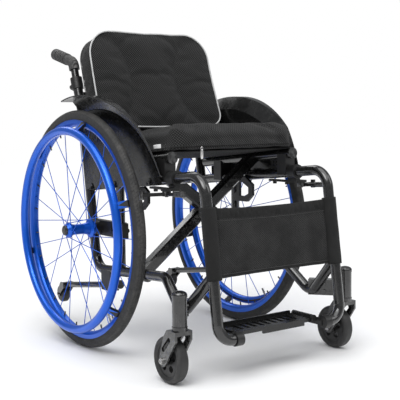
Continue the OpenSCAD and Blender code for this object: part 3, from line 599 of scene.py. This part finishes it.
class Pad:
    """A closed pad on an even grid. u runs across, v up or back, and d through its thickness."""

    def __init__(self, name, place, width, height, thick, corners, cell=7 * MM, layers=6):
        self.name, self.place = name, place
        self.n, self.m, self.k = round(width / cell), round(height / cell), layers
        self.index, self.local = {}, []
        for i in range(self.n + 1):
            for j in range(self.m + 1):
                for k in range(self.k + 1):
                    if i in (0, self.n) or j in (0, self.m) or k in (0, self.k):
                        x = (i / self.n - 0.5) * width
                        y = (j / self.m - 0.5) * height
                        x, y = round_corner(x, y, width / 2, height / 2, corners)
                        self.index[i, j, k] = len(self.local)
                        self.local.append([x, y, k / self.k * thick])
        self.faces = []
        sizes = (self.n, self.m, self.k)
        for a, b, fixed in ((0, 1, 2), (1, 2, 0), (2, 0, 1)):
            for end in (0, sizes[fixed]):
                for p in range(sizes[a]):
                    for q in range(sizes[b]):
                        quad = []
                        for dp, dq in ((0, 0), (1, 0), (1, 1), (0, 1)):
                            key = [0, 0, 0]
                            key[a], key[b], key[fixed] = p + dp, q + dq, end
                            quad.append(self.index[tuple(key)])
                        self.faces.append(quad if end else quad[::-1])
        self.pins = {}

    def loop(self, k):
        """The point numbers round the outline at layer k, in order."""
        keys = [(i, 0, k) for i in range(self.n)] + [(self.n, j, k) for j in range(self.m)]
        keys += [(i, self.m, k) for i in range(self.n, 0, -1)] + [(0, j, k) for j in range(self.m, 0, -1)]
        return [self.index[key] for key in keys]

    def pin(self, numbers, weight=1.0):
        for number in numbers:
            self.pins[number] = max(weight, self.pins.get(number, 0))

    def build(self, material):
        points = [self.place(*p) for p in self.local]
        self.piece = mesh_piece(self.name, points, self.faces, material, None)
        tidy(self.piece)
        return self.piece

    def puff(self, pressure, cap, slack):
        """Blows the pad up with a short cloth simulation and keeps the shape, no point moving further than cap."""
        piece, scene = self.piece, bpy.context.scene
        group = piece.vertex_groups.new(name="seams")
        for number, weight in self.pins.items():
            group.add([number], weight, "REPLACE")
        cloth = piece.modifiers.new("cloth", "CLOTH")
        cloth.settings.vertex_group_mass = "seams"
        cloth.settings.pin_stiffness = 1.0
        cloth.settings.use_pressure = True
        cloth.settings.uniform_pressure_force = pressure
        cloth.settings.shrink_min = -slack
        cloth.settings.mass = 0.3
        cloth.settings.bending_stiffness = 0.6
        cloth.settings.effector_weights.gravity = 0
        cloth.point_cache.frame_start, cloth.point_cache.frame_end = 1, 20
        for number in range(1, 21):
            scene.frame_set(number)
        grown = piece.evaluated_get(bpy.context.evaluated_depsgraph_get()).to_mesh()
        moved = [v.co.copy() for v in grown.vertices]
        piece.modifiers.remove(cloth)
        scene.frame_set(1)
        for vertex, new in zip(piece.data.vertices, moved):
            step = new - vertex.co
            vertex.co += step * (min(step.length, cap) / max(step.length, 1e-9))
        piece.vertex_groups.clear()

    def smooth(self, rounds=1):
        work = self.piece.modifiers.new("smooth", "SUBSURF")
        work.levels = work.render_levels = rounds
        shaped = bpy.data.meshes.new_from_object(
            self.piece.evaluated_get(bpy.context.evaluated_depsgraph_get()))
        self.piece.modifiers.clear()
        materials = list(self.piece.data.materials)
        self.piece.data = shaped
        if not shaped.materials:
            for material in materials:
                shaped.materials.append(material)
        shaped.shade_smooth()

    def world(self, numbers):
        return [self.piece.data.vertices[n].co.copy() for n in numbers]


def squash_fold(piece):
    """Gives the piece its own copy of its mesh."""
    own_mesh(piece)


def seat_place():
    """Turns the seat pad's own directions into the row frame: u across, v from front to back, d up."""
    low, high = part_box("seat_cushion")
    cos, sin = math.cos(SEAT_TILT), math.sin(SEAT_TILT)
    size = high - low
    depth = (size.y * cos - size.z * sin) / (cos * cos - sin * sin)
    thick = (size.z - depth * sin) / cos
    corner = Vector((0, low.y, low.z + depth * sin))
    back = Vector((0, cos, -sin))
    up = Vector((0, sin, cos))
    return corner, back, up, depth, thick, size.x


def seat_cushion():
    corner, back, up, depth, thick, width = seat_place()
    crown = 7 * MM

    def place(u, v, d):
        side = width / 2 - 7 * MM
        across = u / side
        inward, d = round_edge(side - abs(u), d, thick, 15 * MM)
        ahead, d = round_edge(v + depth / 2 - 6 * MM, d, thick, 27 * MM)
        share = d / thick
        bow = 9 * MM * (1 - across * across) * (1 - ahead / depth)
        tuck = 10 * MM * (1 - share) ** 2 * max(0.0, 1 - ahead / (50 * MM))
        rise = share * (thick - crown) + 2 * MM
        out = math.copysign(side - inward, u)
        return Vector((out, 0, 0)) + corner + back * (ahead + 12 * MM - bow + tuck) + up * rise

    pad = Pad("seat_pad", place, width - 14 * MM, depth - 12 * MM, thick, (52 * MM, 30 * MM), layers=8)
    piece = pad.build(SPACER)
    pad.pin(pad.loop(0))
    pad.pin([n for key, n in pad.index.items() if key[2] == 0], 0.9)
    pad.puff(4.2, 12 * MM, 0.012)
    hem = pad.world(pad.loop(1))
    crease(piece, 2.2 * MM, 34, 5)
    pad.smooth()
    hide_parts("seat_cushion")
    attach(piece, "seat")
    parts = [piece]
    parts.append(rope("seat_zip_tape", hem, 2.2 * MM, WEBBING, "seat", closed=True, sides=6, flat=0.6))
    for part in parts:
        squash_fold(part)
    return pad


def crease(piece, depth, scale, seed):
    """Soft uneven wrinkles, slanting across the cloth."""
    shift = Vector((seed * 3.1, seed * 1.7, seed * 0.9))
    piece.data.update()
    normals = [v.normal.copy() for v in piece.data.vertices]
    for vertex, normal in zip(piece.data.vertices, normals):
        p = vertex.co
        wave = noise.noise(Vector((p.x * scale + p.z * scale * 0.5, p.y * scale * 0.5, p.z * scale * 0.35)) + shift)
        vertex.co += normal * (depth * wave)


def back_place():
    """The back pad's own directions: u across, v up along the raked posts, d towards the sitter."""
    low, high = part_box("back_cushion")
    rake = Vector((0, math.sin(BACK_RAKE), math.cos(BACK_RAKE)))
    front = Vector((0, -math.cos(BACK_RAKE), math.sin(BACK_RAKE)))
    return low, high, rake, front


def back_cushion():
    low, high, rake, front = back_place()
    height = (high.z - low.z) / math.cos(BACK_RAKE) - 20 * MM
    width = high.x - low.x
    thick = 56 * MM
    centre = Vector((0, high.y - 6 * MM, high.z)) - rake * (height / 2 + 12 * MM) - Vector((0, 8 * MM, 0))

    def place(u, v, d):
        across = u / (width / 2)
        up_share = v / (height / 2)
        wrap = 10 * MM * across * across
        dish = 5 * MM * (1 - up_share * up_share)
        narrow = 1 - 0.02 * up_share
        top = 4 * MM * (1 - across * across) * max(0.0, up_share)
        share = d / thick
        forward = d * 0.9 + (wrap - dish) * share + 1 * MM
        return centre + Vector((u * narrow, 0, 0)) + rake * (v + top) + front * forward

    pad = Pad("back_pad", place, width - 14 * MM, height, thick, (38 * MM, 66 * MM), layers=7)
    channels = {"near": [], "far": []}
    for j in range(pad.m + 1):
        up_share = j / pad.m * 2 - 1
        for name, sign in (("near", -1), ("far", 1)):
            goal = sign * (0.070 + 0.062 * abs(up_share) ** 2.4)
            column = min(range(pad.n + 1), key=lambda i: abs(pad.local[pad.index[i, j, pad.k]][0] - goal))
            number = pad.index[column, j, pad.k]
            if 0 < column < pad.n and 0 < j < pad.m:
                pad.local[number][0] = goal
                pad.local[number][2] -= 3.5 * MM
            channels[name].append(number)
    piece = pad.build(SPACER)
    pad.pin(pad.loop(0))
    pad.pin(pad.loop(pad.k))
    pad.pin([n for key, n in pad.index.items() if key[2] == 0], 0.95)
    for numbers in channels.values():
        pad.pin(numbers, 0.93)
    pad.puff(3.6, 13 * MM, 0.02)
    crease(piece, 3.0 * MM, 16, 2)
    edge = pad.world(pad.loop(pad.k))
    rear = pad.world(pad.loop(0))
    lines = {name: pad.world(numbers) for name, numbers in channels.items()}
    pad.smooth()
    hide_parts("back_cushion")
    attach(piece, "right_frame")
    parts = [piece]
    parts.append(rope("back_piping", edge, 2.1 * MM, PIPING, "right_frame", closed=True, sides=10))
    parts.append(rope("back_rear_seam", rear, 1.0 * MM, THREAD, "right_frame", closed=True, sides=6))
    for name, line in lines.items():
        parts.append(rope(f"back_channel_{name}", line, 0.9 * MM, THREAD, "right_frame", sides=6))
    for part in parts:
        squash_fold(part)


# ---------------------------------------------------------------- slings and the calf strap

def strap_line(share):
    """A point on the front tube beside the calf strap, 0 at its lower edge and 1 at its upper."""
    low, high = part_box("calf_strap")
    return Vector((0, low.y + 3 * MM + share * (high.y - low.y - 6 * MM), low.z + share * (high.z - low.z)))


def calf_strap():
    half = SIDE_X - TUBE_R - 1 * MM
    columns, rows = 96, 40

    def surface(i, j, side):
        across = 2 * i / columns - 1
        share = j / rows
        base = strap_line(share)
        bow = 7 * MM * (1 - across * across)
        sway = 1.6 * MM * noise.noise(Vector((across * 7, share * 2.2, 4.0)))
        gather = 0.0
        if share > 0.84:
            crinkle = noise.noise(Vector((across * 38, share * 9, 1.0)))
            crinkle += 0.6 * noise.noise(Vector((across * 80, share * 20, 7.0)))
            gather = (3.2 * MM * crinkle - 2 * MM) * math.sin((share - 0.84) / 0.16 * math.pi)
        sag = -5 * MM * (1 - across * across) * share
        return Vector((across * half, base.y + bow + sway + gather + side * 1.1 * MM, base.z + sag))

    front = [[surface(i, j, -1) for i in range(columns + 1)] for j in range(rows + 1)]
    rear = [[surface(i, j, 1) for i in range(columns + 1)] for j in range(rows, -1, -1)]
    points, faces = lattice(front + rear, wrap_rows=True)
    strap = mesh_piece("strap_panel", points, faces, NET, None)
    close_ends(strap)
    strap.data.materials.append(WEBBING)
    for face in strap.data.polygons:
        if face.center.z > strap_line(0.845).z - 2 * MM or face.center.z < strap_line(0.06).z - 2 * MM:
            face.material_index = 1
    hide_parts("calf_strap")
    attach(strap, "right_frame")
    squash_fold(strap)
    for share, name in ((0.83, "upper"), (0.06, "lower")):
        line = [surface(i, round(share * rows), -1) + Vector((0, -0.4 * MM, 0)) for i in range(columns + 1)]
        hem = rope(f"strap_stitch_{name}", line, 0.7 * MM, THREAD, "right_frame", sides=5)
        squash_fold(hem)
    for side, sign in SIDES:
        sleeve(side, sign)


def close_ends(piece):
    work = bmesh.new()
    work.from_mesh(piece.data)
    bmesh.ops.holes_fill(work, edges=[e for e in work.edges if e.is_boundary])
    bmesh.ops.recalc_face_normals(work, faces=work.faces)
    work.to_mesh(piece.data)
    work.free()


def sleeve(side, sign):
    """The strap's hook-and-loop sleeve, wrapped round a front tube with its flap laid over."""
    rows_of = []
    turns = 44
    for j in range(31):
        share = -0.02 + 1.04 * j / 30
        centre = strap_line(share) + Vector((sign * SIDE_X, 0, 0))
        along = (strap_line(1) - strap_line(0)).normalized()
        out = Vector((1, 0, 0))
        ahead = along.cross(out).normalized() * -1
        row = []
        for k in range(turns):
            a = 2 * math.pi * k / turns
            thick = TUBE_R + 2.2 * MM + 1.0 * MM * (math.cos(a - 2.2) > 0.2)
            thick += 0.5 * MM * noise.noise(Vector((a * 1.5, share * 5, sign * 2.0)))
            inward = max(0.0, -math.cos(a)) * 5 * MM
            row.append(centre + out * sign * (math.cos(a) * thick - inward) + ahead * math.sin(a) * thick)
        rows_of.append(row)
    inner = [[p + (c - p) * 0.09 for p in row] for row, c in
             ((row, sum(row, Vector()) / len(row)) for row in reversed(rows_of))]
    points, faces = lattice(rows_of + inner, wrap_rows=True, wrap_columns=True)
    piece = mesh_piece(f"{side}_strap_sleeve", points, faces, WEBBING, None)
    tidy(piece)
    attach(piece, f"{side}_frame")


def sling(name, node, body, points_of):
    """A sheet of nylon between two tubes, with stitched hems."""
    columns, rows = 60, 40
    front = [[points_of(2 * i / columns - 1, j / rows, 1.0) for i in range(columns + 1)] for j in range(rows + 1)]
    rear = [[points_of(2 * i / columns - 1, j / rows, -1.0) for i in range(columns + 1)] for j in range(rows, -1, -1)]
    points, faces = lattice(front + rear, wrap_rows=True)
    piece = mesh_piece(name, points, faces, SLING, None)
    close_ends(piece)
    wide = (points_of(1, 0, 0) - points_of(-1, 0, 0)).length
    tall = sum((points_of(0, (j + 1) / rows, 0) - points_of(0, j / rows, 0)).length for j in range(rows))
    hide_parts(node)
    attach(piece, body)
    squash_fold(piece)
    for across, tag in ((-0.93, "near"), (0.93, "far")):
        for nudge in (0, 0.025):
            path = [points_of(across + math.copysign(nudge, across), j / rows, -1.3) for j in range(rows + 1)]
            stitch = rope(f"{name}_stitch_{tag}_{round(nudge * 1000)}", path, 0.6 * MM, THREAD, body, sides=5)
            squash_fold(stitch)


def seat_sling():
    low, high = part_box("seat_sling")
    cos, sin = math.cos(SEAT_TILT), math.sin(SEAT_TILT)
    depth = ((high.y - low.y) * cos - (high.z - low.z) * sin) / (cos * cos - sin * sin)
    half = (high.x - low.x) / 2
    corner = Vector((0, low.y, low.z + depth * sin))
    back, up = Vector((0, cos, -sin)), Vector((0, sin, cos))

    def place(across, share, side):
        dip = -5 * MM * (1 - across ** 4) * math.sin(math.pi * min(1, max(0, share)))
        rise = 1.25 * MM + dip + side * 1.0 * MM
        return Vector((across * half, 0, 0)) + corner + back * (share * depth) + up * rise

    sling("seat_cloth", "seat_sling", "seat", place)


def back_sling():
    low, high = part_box("back_sling")
    half = (high.x - low.x) / 2
    outline = sorted({(round(v.co.z, 5), round(v.co.y, 5)) for v in NODES["back_sling"].data.vertices})
    rear = [outline[1], outline[3], outline[5]] if len(outline) > 5 else [outline[0], outline[-1]]

    def spine(share):
        z = rear[0][0] + share * (rear[-1][0] - rear[0][0])
        for (z0, y0), (z1, y1) in zip(rear, rear[1:]):
            if z <= z1 or (z1, y1) == rear[-1]:
                return Vector((0, y0 + (y1 - y0) * (z - z0) / max(z1 - z0, 1e-6), z))

    def place(across, share, side):
        bow = 5 * MM * (1 - across * across)
        return Vector((across * half, 0, 0)) + spine(share) + Vector((0, bow - 1.25 * MM - side * 1.0 * MM, 0))

    sling("back_cloth", "back_sling", "right_frame", place)
    for row in (0.2, 0.5, 0.8):
        path = [place(a / 20, row, -2.2) for a in range(-20, 21)]
        band = rope(f"back_band_{round(row * 10)}", path, 13 * MM, WEBBING, "right_frame", sides=10, flat=0.07)
        squash_fold(band)


# ---------------------------------------------------------------- wheels

def tyre(side):
    """Slick tyre with three fine grooves, moulded bead lines and a rounded crown."""
    half = TYRE_W / 2
    depth = WHEEL_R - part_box(f"{side}_rim")[1].z + WHEEL[side].z
    profile = []
    for step in range(0, 61):
        a = math.pi * (step / 60 - 0.5) * 1.16
        across = half * math.sin(a) / math.sin(math.pi * 0.58) * (1.0 if abs(a) < 1.2 else 0.985)
        rise = (math.cos(a) + 0.25) / 1.25
        groove = sum(math.exp(-((across - at) / (0.55 * MM)) ** 2) for at in (-6 * MM, 0, 6 * MM)) * 0.8 * MM
        bead = math.exp(-((rise - 0.22) / 0.035) ** 2) * 0.5 * MM
        profile.append((WHEEL_R - (depth + 1 * MM) * (1 - rise) - groove, across + math.copysign(bead, across)))
    piece = turned(f"{side}_tyre_tread", profile, WHEEL[side], (1, 0, 0), TYRE, None, steps=192, closed=True)
    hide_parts(f"{side}_tyre")
    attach(piece, f"{side}_wheel")


def wheel_trim(side, sign):
    """Spoke nipples, the valve and the hub's end cap."""
    centre = WHEEL[side]
    body = f"{side}_wheel"
    rim_in = RIM_R - 19 * MM
    nipples = []
    profile = [(0, 0), (1.5 * MM, 0), (1.9 * MM, 2 * MM), (1.9 * MM, 12 * MM),
               (2.8 * MM, 13 * MM), (0, 13.2 * MM)]
    for n in range(SPOKES):
        a = 2 * math.pi * (n + 0.5) / SPOKES
        out = Vector((0, math.cos(a), math.sin(a)))
        at = centre + out * (rim_in - 11 * MM)
        nipples.append(turned(f"nip{n}", profile, at, out, BLACK_STEEL, None, steps=10))
    joined(f"{side}_nipples", nipples, body)
    a = math.radians(236)
    out = Vector((0, math.cos(a), math.sin(a)))
    profile = [(0, 0), (1.8 * MM, 0), (2.6 * MM, 1 * MM), (2.6 * MM, 10 * MM), (3.4 * MM, 10.5 * MM),
               (3.4 * MM, 13 * MM), (2.4 * MM, 13.5 * MM), (2.4 * MM, 30 * MM), (0, 30 * MM)]
    turned(f"{side}_valve", profile, centre + out * (rim_in - 26 * MM), out, STEEL, body, steps=16)
    low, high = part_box(f"{side}_hub")
    tip = Vector((low.x if sign < 0 else high.x, centre.y, centre.z))
    cap = [(0, 3.5 * MM), (4 * MM, 3.2 * MM), (5.2 * MM, 2.0 * MM), (11 * MM, 1.6 * MM),
           (12.5 * MM, 0.2 * MM), (12.5 * MM, -2 * MM), (0, -2 * MM)]
    turned(f"{side}_hub_cap", cap, tip, (sign, 0, 0), TRIM, body, steps=40)


def details():
    for side, sign in SIDES:
        tyre(side)
        wheel_trim(side, sign)
        darken_tabs(side)
        frame_body = f"{side}_frame"
        for n, y in enumerate(GUARD_SCREW_Y):
            at = Vector((sign * GUARD_FACE_X, y, upper_z(y)))
            screw(f"{side}_guard_screw_{n}", at, (sign, 0, 0), 4.6 * MM, frame_body)
        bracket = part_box(f"{side}_rail_brackets")
        front_saddle = [bracket[0].y + 12 * MM, bracket[0].y + 30 * MM]
        for n, y in enumerate(front_saddle + REAR_SADDLE_SCREW_Y):
            at = Vector((sign * RAIL_SADDLE_X, y, upper_z(y) + 12 * MM))
            screw(f"{side}_saddle_screw_{n}", at, (sign, 0, 0), 3.6 * MM, frame_body)
        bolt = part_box(f"{side}_caster_bolt")
        for end, way in ((bolt[0], -1), (bolt[1], 1)):
            at = Vector((end.x, (bolt[0].y + bolt[1].y) / 2, (bolt[0].z + bolt[1].z) / 2))
            face = "in" if way * sign < 0 else "out"
            screw(f"{side}_fork_screw_{face}", at, (way, 0, 0), 6.0 * MM, f"{side}_caster", STEEL, 2.5 * MM)
    label()
    zip_pull()


def upper_z(y):
    """Height of the upper side tube's axis, which falls towards the back."""
    return UPPER_TUBE_Z - (y - UPPER_TUBE_Y) * math.tan(SEAT_TILT)


def label():
    """A small blank white tag sewn to the seat pad's side."""
    corner, back, up, _, _, width = seat_place()
    rows = []
    for side in (1, -1):
        for j in range(6) if side > 0 else range(5, -1, -1):
            rows.append([
                corner + back * ((50 + 30 * i / 10) * MM) + up * ((8 + 9 * j / 5) * MM)
                + Vector((-width / 2 - 5 * MM - side * 0.4 * MM - 0.8 * MM * math.sin(i / 10 * math.pi), 0, 0))
                for i in range(11)
            ])
    points, faces = lattice(rows, wrap_rows=True)
    piece = mesh_piece("blank_tag", points, faces, LABEL, None)
    close_ends(piece)
    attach(piece, "seat")
    squash_fold(piece)


def zip_pull():
    """The silver pull of the cover's zip, hanging below the pad's front edge."""
    top = seat_place()[0] + Vector((-128 * MM, -9 * MM, -2 * MM))
    rows = []
    outline = []
    for k in range(32):
        a = 2 * math.pi * k / 32
        wide, tall = 3.6 * MM, 11 * MM
        x = math.copysign(abs(math.cos(a)) ** 0.6, math.cos(a)) * wide
        z = math.copysign(abs(math.sin(a)) ** 0.5, math.sin(a)) * tall
        outline.append((x, z))
    for share, off in ((0.0, -0.9), (0.94, -0.9), (1.0, -0.6), (1.0, 0.6), (0.94, 0.9), (0.0, 0.9)):
        rows.append([top + Vector((x * share, off * MM, z * share - 9 * MM)) for x, z in outline])
    points, faces = lattice(rows, wrap_columns=True)
    piece = mesh_piece("zip_pull", points, faces, BRIGHT, None)
    tidy(piece)
    sharpen(piece, 40)
    ring = [top + Vector((math.cos(a) * 2.6 * MM, -0.2 * MM, math.sin(a) * 3.4 * MM + 4 * MM)) for a in
            (2 * math.pi * k / 20 for k in range(20))]
    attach(piece, "seat")
    squash_fold(piece)
    link = rope("zip_ring", ring, 0.7 * MM, BRIGHT, "seat", closed=True, sides=6)
    squash_fold(link)


# ---------------------------------------------------------------- floor, light and camera

def studio():
    mesh = bpy.data.meshes.new("floor")
    work = bmesh.new()
    bmesh.ops.create_grid(work, x_segments=2, y_segments=2, size=9)
    work.to_mesh(mesh)
    work.free()
    floor = bpy.data.objects.new("floor", mesh)
    floor.location.z = -0.5 * MM
    bpy.context.scene.collection.objects.link(floor)
    mesh.materials.append(floor_finish())

    world = bpy.data.worlds.new("studio")
    bpy.context.scene.world = world
    world.use_nodes = True
    tree = world.node_tree
    soft = tree.nodes["Background"]
    soft.inputs["Color"].default_value = (0.95, 0.97, 1.0, 1)
    soft.inputs["Strength"].default_value = 0.34
    seen = tree.nodes.new("ShaderNodeBackground")
    seen.inputs["Color"].default_value = (1, 1, 1, 1)
    choose = tree.nodes.new("ShaderNodeMixShader")
    path = tree.nodes.new("ShaderNodeLightPath")
    tree.links.new(path.outputs["Is Camera Ray"], choose.inputs[0])
    tree.links.new(soft.outputs[0], choose.inputs[1])
    tree.links.new(seen.outputs[0], choose.inputs[2])
    tree.links.new(choose.outputs[0], tree.nodes["World Output"].inputs["Surface"])
    bpy.context.scene.view_settings.view_transform = "Standard"

    sun = bpy.data.lights.new("sky", "SUN")
    sun.energy, sun.angle = 2.2, math.radians(70)
    high = bpy.data.objects.new("sky", sun)
    high.rotation_euler = (math.radians(14), math.radians(-16), 0)
    bpy.context.scene.collection.objects.link(high)
    goal = Vector((0, 0, 0.35))
    for name, place, size, power in (
        ("key", (-1.9, -1.2, 2.7), 1.6, 34),
        ("fill", (1.9, -2.2, 2.3), 1.8, 20),
        ("rim", (0.4, 2.2, 2.6), 1.8, 24),
    ):
        light = bpy.data.lights.new(name, "AREA")
        light.energy, light.size = power, size
        lamp = bpy.data.objects.new(name, light)
        bpy.context.scene.collection.objects.link(lamp)
        lamp.location = place
        lamp.rotation_euler = (goal - Vector(place)).to_track_quat("-Z", "Y").to_euler()


def camera():
    data = bpy.data.cameras.new("camera")
    data.lens, data.sensor_width = 78.7, 36
    shot = bpy.data.objects.new("camera", data)
    bpy.context.scene.collection.objects.link(shot)
    yaw, pitch, roll = math.radians(35.94), math.radians(-5.24), math.radians(-0.61)
    aim = Matrix.Rotation(-yaw, 4, "Z") @ Matrix.Rotation(math.pi / 2 + pitch, 4, "X")
    turn = aim @ Matrix.Rotation(roll, 4, "Z")
    shot.matrix_world = Matrix.Translation((-1.279, -1.8378, 0.567)) @ turn
    bpy.context.scene.camera = shot


# ---------------------------------------------------------------- the chair

finish_nodes()
seat_cushion()
back_cushion()
seat_sling()
back_sling()
calf_strap()
details()
studio()
camera()
